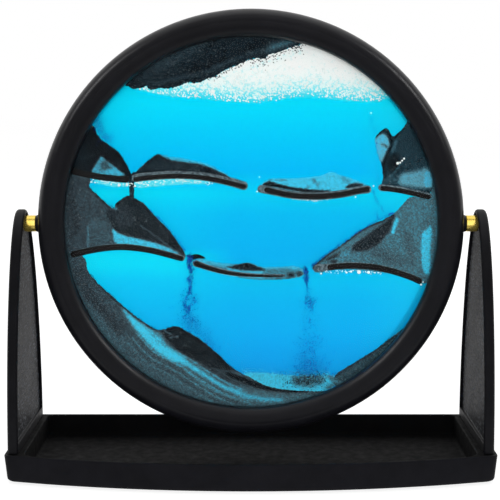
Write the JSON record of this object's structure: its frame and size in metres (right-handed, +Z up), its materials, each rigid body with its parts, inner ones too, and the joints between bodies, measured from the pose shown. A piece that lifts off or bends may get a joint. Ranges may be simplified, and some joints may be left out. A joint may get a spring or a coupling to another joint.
{
  "type": "moving sand art frame",
  "caption": "Round liquid-filled glass sand picture in a black ring that flips end over end on brass side pivots between the arms of a bow-fronted tray stand.",
  "frame": {"origin": "on the table under the middle of the stand's bounding box", "axes": "+Z up, -Y towards the viewer of the front pane, X along the pivot studs"},
  "size_m": [0.203, 0.082, 0.1945],
  "materials": {
    "tray_plastic": "satin",
    "arm_plastic": "satin",
    "ring_plastic": "satin",
    "collar_plastic": "satin",
    "divider_plastic": "satin",
    "bush_nylon": "matte",
    "foot_rubber": "matte",
    "seal_rubber": "matte",
    "stud_brass": "polished",
    "nut_steel": "satin",
    "clear_glass": "gloss",
    "blue_liquid": "gloss",
    "air_bubbles": "satin",
    "dark_sand": "matte"
  },
  "bodies": {
    "stand": {"base_tray": "tray_plastic", "foot_front_left": "foot_rubber", "foot_front_right": "foot_rubber", "foot_rear_left": "foot_rubber", "foot_rear_right": "foot_rubber", "left_arm": "arm_plastic", "left_arm_bush": "bush_nylon", "right_arm": "arm_plastic", "right_arm_bush": "bush_nylon"},
    "sand_ring": {"bubble_layer": "air_bubbles", "cell_spacer": "seal_rubber", "divider_lower_1": "divider_plastic", "divider_lower_2": "divider_plastic", "divider_lower_3": "divider_plastic", "divider_upper_1": "divider_plastic", "divider_upper_2": "divider_plastic", "divider_upper_3": "divider_plastic", "divider_upper_4": "divider_plastic", "filler_plug": "seal_rubber", "front_bezel": "ring_plastic", "front_gasket": "seal_rubber", "front_glass": "clear_glass", "left_captive_nut": "nut_steel", "left_pivot_collar": "collar_plastic", "left_pivot_stud": "stud_brass", "liquid_fill": "blue_liquid", "rear_bezel": "ring_plastic", "rear_gasket": "seal_rubber", "rear_glass": "clear_glass", "right_captive_nut": "nut_steel", "right_pivot_collar": "collar_plastic", "right_pivot_stud": "stud_brass", "sand_bottom_left": "dark_sand", "sand_bottom_right": "dark_sand", "sand_middle_centre": "dark_sand", "sand_middle_left": "dark_sand", "sand_middle_right": "dark_sand", "sand_top_cap": "dark_sand", "sand_upper_left": "dark_sand", "sand_upper_mid_left": "dark_sand", "sand_upper_mid_right": "dark_sand", "sand_upper_right": "dark_sand"}
  },
  "joints": [
    {"name": "ring_flip", "type": "hinge", "parent": "stand", "child": "sand_ring", "pos_m": [0, 0.007, 0.1045], "axis": [1, 0, 0], "continuous": true}
  ]
}
